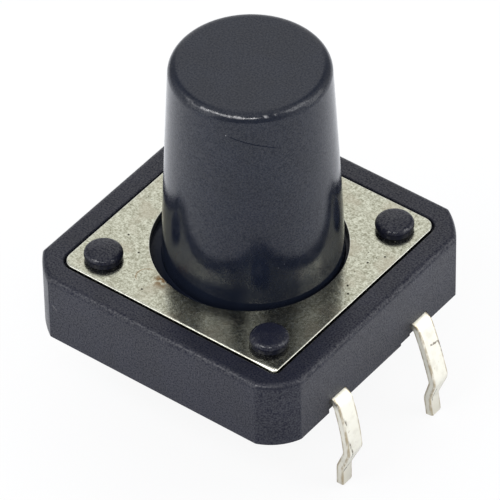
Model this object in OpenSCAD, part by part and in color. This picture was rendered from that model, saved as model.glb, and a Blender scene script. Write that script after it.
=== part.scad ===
// Through-hole tactile pushbutton: a square moulded base with a riveted steel cover,
// a tall tapered stem, a snap dome and two folded contact strips moulded into the base.
// Origin at the centre of the base's seating face, +Z up along the stem.

/* [Base] */
// Outer side of the square base
base_side = 12; // [11.8:0.1:15]
// Height of the base's rim above the seating face
base_h = 2.93; // [2.6:0.01:4]
// Radius that rounds the rim's outer edge
rim_round = 0.24; // [0.05:0.01:0.4]
// Radius of the arc that rounds each corner of the base
corner_r = 2.15; // [1.3:0.05:2.6]
// Distance from each sharp corner at which its two sides meet that arc
corner_inset = 1.21; // [0.8:0.01:1.5]
// Diameter of the blind holes under the contact strips
support_hole_d = 0.8; // [0.5:0.05:1.1]

/* [Cover plate] */
// Width of the base's rim around the cover plate
rim_w = 1.015; // [0.8:0.005:1.15]
// Thickness of the cover plate
plate_t = 0.3; // [0.25:0.05:0.5]
// How far the cover plate stands above the rim
plate_proud = 0.02; // [0.01:0.01:0.25]
// Corner radius of the cover plate
plate_corner_r = 0.5; // [0.2:0.05:0.8]
// Gap between the cover plate and the edge of its recess
plate_gap = 0.14; // [0.05:0.01:0.2]

/* [Rivet posts] */
// Distance of each post from the two plate edges beside it
post_inset = 1.135; // [0.9:0.005:1.2]
// Diameter of a post's shank in the cover plate
post_d = 1.1; // [0.8:0.05:1.2]
// Gap between a post's shank and its hole in the cover plate
post_gap = 0.05; // [0.02:0.01:0.1]
// Diameter of a post's upset head
head_d = 1.44; // [1.3:0.02:1.8]
// Height of a post's head above the cover plate
head_h = 0.48; // [0.35:0.01:0.8]
// Radius that rounds the top of a head
head_round = 0.3; // [0.1:0.05:0.35]

/* [Stem] */
// Height of the stem's top above the seating face
stem_top_z = 11.8; // [6:0.1:17]
// Diameter of the stem where it leaves its flange
stem_root_d = 6.94; // [6.2:0.02:7]
// Diameter to which the stem's sides taper at its top
stem_tip_d = 5.9; // [4:0.02:6.1]
// Radius that rounds the stem's top edge
stem_round = 0.4; // [0.1:0.05:1]
// Gap between the stem and its hole in the cover plate
stem_gap = 0.23; // [0.15:0.01:0.28]
// How far the flange reaches under the cover plate
flange_lap = 0.6; // [0.3:0.05:0.7]
// Thickness of the flange
flange_t = 0.6; // [0.3:0.05:0.8]
// Gap between the wall of the well and the widest piece in it
well_gap = 0.25; // [0.2:0.01:0.35]
// Share of its free play by which the loose stem has settled towards +X
stem_set = 0.8; // [0:0.05:0.9]
// Diameter of the nub that presses the dome
nub_d = 2.4; // [1.4:0.1:4]
// Radius that rounds the nub's lower edge
nub_round = 0.25; // [0.05:0.05:0.35]
// Gap at rest between the stem and the plate above or the dome below
rest_gap = 0.03; // [0.01:0.01:0.05]

/* [Snap dome] */
// Diameter of the snap dome
dome_d = 7.8; // [6.6:0.1:9.2]
// Thickness of the dome's sheet
dome_t = 0.08; // [0.05:0.01:0.12]
// Rise of the dome from its rim to its crown
dome_rise = 0.4; // [0.32:0.01:0.5]
// Travel of the stem until the dome meets the centre button
travel = 0.3; // [0.2:0.01:0.35]

/* [Contact strips] */
// Spacing of the two contact strips
lead_pitch = 5; // [4.4:0.1:5.6]
// Width of a contact strip
lead_w = 0.86; // [0.6:0.02:1.1]
// Thickness of a contact strip
lead_t = 0.3; // [0.2:0.02:0.36]
// Height of a strip's underside above the seating face
lead_z = 0.3; // [0.2:0.02:0.4]
// Skin of the base over the strips
floor_skin = 0.15; // [0.1:0.01:0.2]
// Diameter of the rim pads and rests that carry the dome
pad_d = 1.2; // [1.1:0.05:1.5]
// How far the rim pads and rests stand above the floor of the well
pad_proud = 0.1; // [0.05:0.01:0.15]
// How far each pad's centre lies inside the dome's edge
pad_inset = 0.3; // [0.1:0.05:0.4]
// Width of the tongue that carries the centre button
tongue_w = 1.6; // [1:0.1:2.4]
// Diameter of the centre button
button_d = 1.4; // [1:0.1:2]

/* [Terminals] */
// Depth of the notch in the base's side where a terminal bends down
notch_depth = 0.13; // [0.1:0.01:0.3]
// Gap between a terminal and the sides of its notch
notch_gap = 0.18; // [0.1:0.02:0.3]
// Inner radius of the bend beside the base
bend_r = 0.2; // [0.1:0.05:0.3]
// Angle at which the upper leg leans outwards
lean_out = 16; // [5:1:22]
// Length of the upper leg
upper_leg = 2.2; // [1:0.05:3]
// Inner radius of the knee and of the ankle
knee_r = 0.25; // [0.1:0.05:0.5]
// Angle at which the lower leg leans inwards
lean_in = 22; // [5:1:28]
// Length of the lower leg
lower_leg = 0.9; // [0.4:0.05:1.5]
// Angle at which the toe leans outwards
toe_lean = 8; // [0:1:20]
// Length of the toe
toe_len = 0.65; // [0.3:0.05:1]
// Width of the toe
toe_w = 0.6; // [0.4:0.02:0.8]
// Bevel on each side of the toe's end
toe_bevel = 0.15; // [0.05:0.01:0.2]

/* [Hidden] */
$fn = 96;

// Colours of the mouldings, the steel and the plating
base_colour = [0.19, 0.2, 0.23];
stem_colour = [0.21, 0.22, 0.26];
plate_colour = [0.74, 0.75, 0.68];
dome_colour = [0.8, 0.8, 0.78];
plating_colour = [0.9, 0.88, 0.8];

// How far from the middle the base's straight sides run, and the centres of the arcs that join them
side_reach = base_side / 2 - corner_inset;
corner_at = side_reach + corner_inset / 2 - sqrt(pow(corner_r, 2) / 2 - pow(corner_inset / 2, 2));

// Cover plate and the posts that hold it
plate_side = base_side - 2 * rim_w;
plate_top_z = base_h + plate_proud;
plate_z = plate_top_z - plate_t;
post_at = plate_side / 2 - post_inset;
post_hole_d = post_d + 2 * post_gap;

// Stem, flange and the well they move in
stem_hole_d = stem_root_d + 2 * stem_gap;
flange_d = stem_hole_d + 2 * flange_lap;
well_d = max(flange_d, dome_d) + 2 * well_gap;
flange_top_z = plate_z - rest_gap;
flange_z = flange_top_z - flange_t;
stem_shift = stem_set * min(stem_gap, well_gap);

// Stack in the well: strips, floor, pads, dome and nub
lead_top_z = lead_z + lead_t;
floor_z = lead_top_z + floor_skin;
rim_z = floor_z + pad_proud;
crown_z = rim_z + dome_rise;
button_z = crown_z - travel;
nub_z = crown_z + dome_t + rest_gap;
pad_x = sqrt(pow(dome_d / 2 - pad_inset, 2) - pow(lead_pitch / 2, 2));
dome_r = (pow(dome_d / 2, 2) + pow(dome_rise, 2)) / (2 * dome_rise);

// Terminals: where a strip starts to bend, and its folds as [turn, inner radius, length after it]
lead_reach = base_side / 2 - notch_depth;
leg_folds = [
    [90 - lean_out, bend_r, upper_leg],
    [lean_out + lean_in, knee_r, lower_leg],
    [-(lean_in + toe_lean), knee_r, toe_len],
];
bend_steps = 8;

// Mid-line of half a strip from the middle of the base to the toe, as [x, z, heading below +X]
half_line = concat([[0, lead_z + lead_t / 2, 0]], folded([lead_reach, lead_z + lead_t / 2, 0], leg_folds));
mirrored_line = [for (i = [len(half_line) - 1:-1:1]) [-half_line[i][0], half_line[i][1], -half_line[i][2]]];
strip_line = concat(mirrored_line, half_line);

// Depths at which a leg narrows, from the far end of its knee, the start of its ankle and its toe
knee_z = half_line[2 * (bend_steps + 1) + 1][1];
ankle_z = half_line[2 * (bend_steps + 1) + 2][1];
toe_z = half_line[len(half_line) - 1][1] - lead_t / 2 * sin(toe_lean);

// Point at a distance from a place on a line, straight ahead or square to its heading
function ahead(at, l) = [at[0] + l * cos(at[2]), at[1] - l * sin(at[2]), at[2]];
function beside(at, l) = [at[0] + l * sin(at[2]), at[1] + l * cos(at[2])];

// Places along one bend, at equal steps of its turn about the centre of its radius
function bend_line(at, turn, r) = [
    for (i = [0:bend_steps])
        let (heading = at[2] + turn * i / bend_steps, centre = beside(at, -sign(turn) * r))
            concat(beside([centre[0], centre[1], heading], sign(turn) * r), heading)
];

// Places along a list of folds, each a bend and the flat stretch after it
function folded(at, folds, i = 0) =
    i == len(folds) ? [at] :
    let (bend = bend_line(at, folds[i][0], folds[i][1] + lead_t / 2))
        concat(bend, folded(ahead(bend[bend_steps], folds[i][2]), folds, i + 1));

// Square with rounded corners, centred
module rounded_square(side, r) {
    square([side, side - 2 * r], center = true);
    square([side - 2 * r, side], center = true);
    at_corners(side / 2 - r) circle(r);
}

// Puts a shape at the four corners of a square
module at_corners(at) {
    for (x = [-at, at], y = [-at, at])
        translate([x, y])
            children();
}

// Half section of a turned peg, tapering from r0 to r1 over its height, with its top edge rounded
// as far as the height allows
module peg_section(r0, r1, h, edge) {
    arc_r = min(edge, h);
    taper = atan((r0 - r1) / h);
    arc_x = r0 - (arc_r + (h - arc_r) * sin(taper)) / cos(taper);
    arc_y = h - arc_r;
    side_end = [arc_x + arc_r * cos(taper), arc_y + arc_r * sin(taper)];
    polygon([[0, 0], [r0, 0], side_end, [arc_x, h], [0, h]]);
    intersection() {
        translate([arc_x, arc_y])
            circle(arc_r);
        square([max(r0, r1), h]);
    }
}

// Section of the base from side to side, with its two top edges rounded
module base_section() {
    for (side = [0, 1])
        mirror([side, 0])
            peg_section(base_side / 2, base_side / 2, base_h, rim_round);
}

// What is cut from one corner of a square block: all beyond an upright peg with a rounded top edge
module corner_waste() {
    translate([corner_at, corner_at, 0])
        difference() {
            translate([0, 0, -base_h])
                cube([base_side, base_side, 3 * base_h]);
            rotate_extrude()
                peg_section(corner_r, corner_r, base_h, rim_round);
        }
}

// Solid base: straight sides that meet a flatter arc at each corner, with the rim's outer edge rounded
module base_block() {
    difference() {
        intersection_for (turn = [0, 90])
            rotate([90, 0, turn])
                linear_extrude(base_side, center = true)
                    base_section();
        for (turn = [0:90:270])
            rotate(turn)
                corner_waste();
    }
}

// Contact strip across the base with a folded terminal at each end: its side view cut to its front view
module lead_strip() {
    upper_face = [for (at = strip_line) beside(at, lead_t / 2)];
    lower_face = [for (i = [len(strip_line) - 1:-1:0]) beside(strip_line[i], -lead_t / 2)];
    right_edge = [
        [lead_w / 2, lead_top_z],
        [lead_w / 2, knee_z],
        [toe_w / 2, ankle_z],
        [toe_w / 2, toe_z + toe_bevel],
        [toe_w / 2 - toe_bevel, toe_z],
    ];
    left_edge = [for (i = [len(right_edge) - 1:-1:0]) [-right_edge[i][0], right_edge[i][1]]];
    intersection() {
        rotate([90, 0, 0])
            linear_extrude(lead_w, center = true)
                polygon(concat(upper_face, lower_face));
        rotate([90, 0, 90])
            linear_extrude(2 * base_side, center = true)
                polygon(concat(right_edge, left_edge));
    }
}

// Round pads on a strip, one under each end of the dome's rim
module rim_pads(z, h) {
    for (x = [-pad_x, pad_x])
        translate([x, 0, z])
            cylinder(d = pad_d, h = h);
}

// Strip whose two pads carry the dome's rim
module common_strip() {
    translate([0, -lead_pitch / 2, 0]) {
        lead_strip();
        rim_pads(lead_z, rim_z - lead_z);
    }
}

// Strip whose tongue carries the button under the dome's crown
module centre_strip() {
    translate([0, lead_pitch / 2, 0])
        lead_strip();
    translate([-tongue_w / 2, 0, lead_z])
        cube([tongue_w, lead_pitch / 2, lead_t]);
    translate([0, 0, lead_z])
        cylinder(d = tongue_w, h = lead_t);
    translate([0, 0, lead_z])
        cylinder(d = button_d, h = button_z - lead_z);
}

// Moulded post: a shank through the cover plate and its upset head
module rivet_post() {
    translate([0, 0, floor_z])
        cylinder(d = post_d, h = plate_top_z - floor_z);
    translate([0, 0, plate_top_z])
        rotate_extrude()
            peg_section(head_d / 2, head_d / 2, head_h, head_round);
}

// Hollows of the base: plate recess, well, terminal notches and holes under the strips
module base_hollows() {
    translate([0, 0, plate_z])
        linear_extrude(base_h)
            rounded_square(plate_side + 2 * plate_gap, plate_corner_r + plate_gap);
    translate([0, 0, floor_z])
        cylinder(d = well_d, h = base_h);
    for (y = [-lead_pitch / 2, lead_pitch / 2], side = [-1, 1])
        translate([0, y, 0]) {
            translate([side * base_side / 2, 0, 0])
                cube([2 * notch_depth, lead_w + 2 * notch_gap, 2 * lead_top_z], center = true);
            translate([side * pad_x, 0, 0])
                cylinder(d = support_hole_d, h = 2 * lead_z, center = true);
        }
}

module housing() {
    color(base_colour)
        difference() {
            union() {
                difference() {
                    base_block();
                    base_hollows();
                }
                at_corners(post_at) rivet_post();
                translate([0, lead_pitch / 2, 0])
                    rim_pads(lead_top_z, rim_z - lead_top_z);
            }
            common_strip();
            centre_strip();
        }
}

module cover_plate() {
    color(plate_colour)
        translate([0, 0, plate_z])
            linear_extrude(plate_t)
                difference() {
                    rounded_square(plate_side, plate_corner_r);
                    circle(d = stem_hole_d);
                    at_corners(post_at) circle(d = post_hole_d);
                }
}

module plunger() {
    color(stem_colour)
        translate([stem_shift, 0, 0])
            rotate_extrude() {
                translate([0, flange_top_z])
                    peg_section(stem_root_d / 2, stem_tip_d / 2, stem_top_z - flange_top_z, stem_round);
                translate([0, flange_z])
                    square([flange_d / 2, flange_t]);
                translate([0, flange_z])
                    mirror([0, 1])
                        peg_section(nub_d / 2, nub_d / 2, flange_z - nub_z, nub_round);
            }
}

module snap_dome() {
    color(dome_colour)
        intersection() {
            translate([0, 0, crown_z - dome_r])
                difference() {
                    sphere(dome_r + dome_t);
                    sphere(dome_r);
                }
            translate([0, 0, rim_z])
                cylinder(d = dome_d, h = 2 * dome_rise);
        }
}

module common_contact() {
    color(plating_colour) common_strip();
}

module centre_contact() {
    color(plating_colour) centre_strip();
}

housing();
cover_plate();
plunger();
snap_dome();
common_contact();
centre_contact();
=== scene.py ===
"""Looks of a tall-stemmed tactile pushbutton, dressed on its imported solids.

Sizes and places are in millimetres, in the part's own frame, and become metres where a mesh is made.
Each sub-assembly is a class with its sizes as fields, and each finish is a frozen dataclass.
"""

import logging
from dataclasses import dataclass, field
from enum import Enum

import bpy
import numpy as np
from mathutils import Matrix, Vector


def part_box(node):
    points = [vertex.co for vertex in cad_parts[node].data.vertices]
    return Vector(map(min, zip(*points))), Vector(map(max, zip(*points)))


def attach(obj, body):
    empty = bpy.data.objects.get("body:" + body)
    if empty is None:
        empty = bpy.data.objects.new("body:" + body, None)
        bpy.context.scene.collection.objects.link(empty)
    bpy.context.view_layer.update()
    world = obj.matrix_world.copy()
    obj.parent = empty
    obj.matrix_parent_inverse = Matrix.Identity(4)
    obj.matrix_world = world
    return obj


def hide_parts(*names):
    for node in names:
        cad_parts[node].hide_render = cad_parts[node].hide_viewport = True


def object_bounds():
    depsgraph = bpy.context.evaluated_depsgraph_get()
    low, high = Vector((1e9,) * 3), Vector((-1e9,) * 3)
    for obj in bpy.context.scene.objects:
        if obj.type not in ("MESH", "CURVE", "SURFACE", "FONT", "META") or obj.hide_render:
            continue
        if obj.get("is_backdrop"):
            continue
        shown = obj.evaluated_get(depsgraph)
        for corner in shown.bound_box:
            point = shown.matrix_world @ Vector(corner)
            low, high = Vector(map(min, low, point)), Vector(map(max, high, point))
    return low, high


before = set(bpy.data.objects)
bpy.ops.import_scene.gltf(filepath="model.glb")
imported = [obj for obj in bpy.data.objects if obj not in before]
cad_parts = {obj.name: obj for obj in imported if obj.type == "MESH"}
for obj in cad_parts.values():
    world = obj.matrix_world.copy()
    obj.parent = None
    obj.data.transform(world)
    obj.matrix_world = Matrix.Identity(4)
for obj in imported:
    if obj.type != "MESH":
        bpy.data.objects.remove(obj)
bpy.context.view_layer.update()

MM = 0.001
LOG = logging.getLogger("pushbutton")

Array = np.ndarray
Span = tuple[float, float]
Point = tuple[float, float, float]
Colour = tuple[float, float, float]
Socket = bpy.types.NodeSocket

# Places that several pieces share, the small opening that a turned section leaves at its axis, and
# the turn in degrees past which an edge is drawn sharp.
POST_AT = 3.85
LEAD_PITCH = 5.0
PAD_X = 2.59
EYE_R = 0.05
CREASE = 35.0


class Body(Enum):
    """The two bodies that pieces ride on."""

    BASE = "base"
    STEM = "stem"


class Slot(Enum):
    """The record's material slots that the new pieces take."""

    BASE_PLASTIC = "base_plastic"
    COVER_STEEL = "cover_steel"
    STEM_PLASTIC = "stem_plastic"
    CONTACT_PLATING = "contact_plating"


def node_box(node: str) -> Array:
    """Gives a solid's lowest and highest corner as two rows, in millimetres."""
    return np.array(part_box(node)) / MM


def unit(vectors: Array) -> Array:
    """Scales vectors along the last axis to length one."""
    return vectors / np.linalg.norm(vectors, axis=-1, keepdims=True)


def linked(name: str, data: bpy.types.ID) -> bpy.types.Object:
    """Makes an object and links it to the scene.

    Args:
        name: Name of the object.
        data: Its mesh, lamp or camera.

    Returns:
        The new object, at the origin.
    """
    made = bpy.data.objects.new(name, data)
    bpy.context.scene.collection.objects.link(made)
    return made


def grid_quads(rows: int, columns: int) -> Array:
    """Joins the points of a grid, kept row by row, to their neighbours in faces of four.

    Args:
        rows: Number of rows.
        columns: Points in a row.

    Returns:
        The four corners of each face.
    """
    index = np.arange(rows * columns).reshape(rows, columns)
    low, high = index[:-1], index[1:]
    return np.stack([low[:, :-1], low[:, 1:], high[:, 1:], high[:, :-1]], -1).reshape(-1, 4)


@dataclass
class Profile:
    """A section line: points in two columns, and how far each lies on a rounded edge, from 0 to 1."""

    points: Array
    edge: Array

    @classmethod
    def filleted(cls, corners: list[Span], radii: list[float], steps: int = 6) -> "Profile":
        """Rounds the inner corners of a line.

        Each inner corner becomes the arc that touches both its edges. A point of the arc is the
        arc's centre plus the two touching spokes, weighted by the sines of the turn that is left
        and the turn that is done. A guard point beside each end of the arc keeps the flats flat.

        Args:
            corners: The line's corners, first and last included.
            radii: The radius at each inner corner.
            steps: Number of steps along each arc.

        Returns:
            The rounded line.
        """
        guard = 0.02
        line = np.array(corners, float)
        round_r = np.array(radii, float)[:, None]
        at = line[1:-1]
        back_way = unit(line[:-2] - at)
        on_way = unit(line[2:] - at)
        half = np.arccos(np.clip((back_way * on_way).sum(1, keepdims=True), -1, 1)) / 2
        reach = round_r / np.tan(half)
        centre = at + unit(back_way + on_way) * round_r / np.sin(half)
        turn = (np.pi - 2 * half)[:, :, None]
        share = np.linspace(0, 1, steps + 1)[None, :, None]
        first = (at + back_way * reach - centre)[:, None]
        last = (at + on_way * reach - centre)[:, None]
        spokes = np.sin((1 - share) * turn) * first + np.sin(share * turn) * last
        arc = centre[:, None] + spokes / np.sin(turn)
        before = (at + back_way * (reach + guard))[:, None]
        after = (at + on_way * (reach + guard))[:, None]
        rows = np.concatenate([before, arc, after], axis=1)
        on_edge = np.ones(rows.shape[:2])
        on_edge[:, [0, -1]] = 0
        return cls(
            np.vstack([line[:1], rows.reshape(-1, 2), line[-1:]]),
            np.concatenate([[0], on_edge.ravel(), [0]]),
        )


@dataclass
class Patch:
    """A closed surface: its points, its faces of four and three corners, and each point's edge share."""

    points: Array
    quads: Array
    tris: Array
    edge: Array

    @classmethod
    def loft(cls, stations: Array, edge: Array | float = 0.0, ring: bool = False) -> "Patch":
        """Skins a stack of closed loops.

        Point (i, j) is joined to its neighbours along loop i and to the same point of the next
        loop. The stack's two ends are closed by fans to their middles, or joined to each other.

        Args:
            stations: Points as (loops, points in a loop, 3).
            edge: Edge share of each loop or point, in a shape that fits (loops, points in a loop).
            ring: Whether the last loop joins the first one.

        Returns:
            The surface, with its faces outwards.
        """
        rows, count = stations.shape[:2]
        index = np.arange(rows * count).reshape(rows, count)
        stack = np.vstack([index, index[:1]]) if ring else index
        low, high = stack[:-1], stack[1:]
        quads = np.stack([low, np.roll(low, -1, 1), np.roll(high, -1, 1), high], -1).reshape(-1, 4)
        points = stations.reshape(-1, 3)
        shares = np.broadcast_to(edge, (rows, count)).ravel()
        tris = np.zeros((0, 3), int)
        if not ring:
            poles = np.full((2, count), rows * count) + [[0], [1]]
            first = np.stack([poles[0], np.roll(index[0], -1), index[0]], -1)
            last = np.stack([poles[1], index[-1], np.roll(index[-1], -1)], -1)
            tris = np.vstack([first, last])
            points = np.vstack([points, stations[[0, -1]].mean(1)])
            shares = np.concatenate([shares, [0, 0]])
        made = cls(points, quads, tris, shares)
        if made.volume() < 0:
            made = cls(points, quads[:, ::-1], tris[:, ::-1], shares)
        return made

    @classmethod
    def box(cls, low: Point, high: Point) -> "Patch":
        """Makes a box between two corners: its square loop at the bottom and at the top.

        Args:
            low: The box's lowest corner.
            high: Its highest corner.

        Returns:
            The box's surface.
        """
        lo, hi = np.array(low), np.array(high)
        picks = np.array([[0, 0], [1, 0], [1, 1], [0, 1]])
        loop = np.broadcast_to(np.where(picks == 1, hi[:2], lo[:2]), (2, 4, 2))
        heights = np.broadcast_to(np.array([lo[2], hi[2]])[:, None, None], (2, 4, 1))
        return cls.loft(np.concatenate([loop, heights], -1))

    @classmethod
    def turned(cls, profile: Profile, middle: Span, count: int) -> "Patch":
        """Turns a section about an upright axis: radius and height at equal steps of angle.

        Args:
            profile: Section line as radius and height.
            middle: Place of the axis in X and Y.
            count: Points in a turn.

        Returns:
            The turned surface.
        """
        angle = np.linspace(0, 2 * np.pi, count, endpoint=False)
        radius, height = profile.points[:, :1], profile.points[:, 1:]
        x = middle[0] + radius * np.cos(angle)
        y = middle[1] + radius * np.sin(angle)
        return cls.loft(np.stack([x, y, height + 0 * angle], -1), profile.edge[:, None])

    def volume(self) -> float:
        """Gives the signed volume inside, as the sum of the cones from the origin to each face.

        Returns:
            The volume, below zero where the faces point inwards.
        """
        fans = np.vstack([self.quads[:, [0, 1, 2]], self.quads[:, [0, 2, 3]], self.tris])
        a, b, c = (self.points[fans[:, i]] for i in range(3))
        return float((a * np.cross(b, c)).sum() / 6)

    def __add__(self, other: "Patch") -> "Patch":
        """Puts two surfaces into one, side by side.

        Args:
            other: The second surface.

        Returns:
            Both in one.
        """
        shift = len(self.points)
        return Patch(
            np.vstack([self.points, other.points]),
            np.vstack([self.quads, other.quads + shift]),
            np.vstack([self.tris, other.tris + shift]),
            np.concatenate([self.edge, other.edge]),
        )

    def piece(self, name: str) -> bpy.types.Object:
        """Makes the surface an object at the origin, with the edge share as a point attribute.

        Args:
            name: Name of the object.

        Returns:
            The new object, linked to the scene.
        """
        mesh = bpy.data.meshes.new(name)
        mesh.from_pydata(self.points * MM, [], self.quads.tolist() + self.tris.tolist())
        shares = mesh.attributes.new("edge", "FLOAT", "POINT")
        shares.data.foreach_set("value", self.edge.astype(np.float32))
        return linked(name, mesh)


def joined(patches: list[Patch]) -> Patch:
    """Puts a list of surfaces into one.

    Args:
        patches: The surfaces.

    Returns:
        All of them in one.
    """
    made = patches[0]
    for patch in patches[1:]:
        made = made + patch
    return made


def carved(piece: bpy.types.Object, cutter: Patch) -> None:
    """Cuts one surface out of a piece and keeps the result as the piece's mesh.

    Args:
        piece: Piece to cut.
        cutter: Closed surface to take away.
    """
    tool = cutter.piece("cutter")
    cut = piece.modifiers.new("carve", "BOOLEAN")
    cut.operation = "DIFFERENCE"
    cut.solver = "EXACT"
    cut.use_self = True
    cut.object = tool
    graph = bpy.context.evaluated_depsgraph_get()
    mesh = bpy.data.meshes.new_from_object(piece.evaluated_get(graph))
    piece.modifiers.clear()
    piece.data = mesh
    mesh.name = piece.name
    bpy.data.objects.remove(tool)


def round_bar(
    spot: Span,
    radius: float,
    heights: Span,
    rounds: Span,
    steps: int = 6,
    count: int = 48,
    eye_r: float = EYE_R,
) -> Patch:
    """Turns an upright round bar: its section runs out along the foot, up the side and in again.

    Args:
        spot: Place of the axis in X and Y.
        radius: The bar's radius.
        heights: Its foot and its top.
        rounds: Rounding of its lower and its upper edge.
        steps: Number of steps along each rounding.
        count: Points in a turn.
        eye_r: Radius at which the section begins and ends.

    Returns:
        The bar's surface.
    """
    foot, top = heights
    corners = [(eye_r, foot), (radius, foot), (radius, top), (eye_r, top)]
    return Patch.turned(Profile.filleted(corners, rounds, steps), spot, count)


def corner_spots(at: float) -> list[Span]:
    """Gives the four places that lie equally far from the middle along X and along Y."""
    return [(x, y) for x in (-at, at) for y in (-at, at)]


def dressed(
    piece: bpy.types.Object,
    material: bpy.types.Material,
    body: Body,
    stands_for: str,
) -> None:
    """Gives a finished piece its shading, material, body and the solid that it stands for.

    Args:
        piece: The piece.
        material: Its finish.
        body: Body that it rides on.
        stands_for: The solid that it replaces.
    """
    mesh = piece.data
    mesh.shade_smooth()
    mesh.set_sharp_from_angle(angle=np.radians(CREASE))
    mesh.materials.clear()
    mesh.materials.append(material)
    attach(piece, body.value)
    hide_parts(stands_for)
    LOG.info("%s: %d faces on %s", piece.name, len(mesh.polygons), body.value)


def square_loop(angle: Array, half: Array, centre: Array, radius: Array) -> Array:
    """Distance from the middle to the outline of a square with arcs at its corners.

    A ray that meets a straight side before that side reaches its corner arc ends on the side, at
    half the square's size over the larger of its cosine and sine. Any other ray ends on the arc,
    where the distance to the arc's centre is the radius.

    Args:
        angle: Directions of the rays.
        half: Half the square's size.
        centre: Place of the corner arcs' centres in X and Y.
        radius: Radius of the corner arcs.

    Returns:
        Distance along each ray.
    """
    across = np.maximum(abs(np.cos(angle)), abs(np.sin(angle)))
    along = np.minimum(abs(np.cos(angle)), abs(np.sin(angle)))
    joint = centre + np.sqrt(np.maximum(radius**2 - (half - centre) ** 2, 0))
    to_centre = centre * (across + along)
    to_arc = to_centre + np.sqrt(np.maximum(to_centre**2 - 2 * centre**2 + radius**2, 0))
    return np.where(along / across < joint / half, half / across, to_arc)


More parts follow.
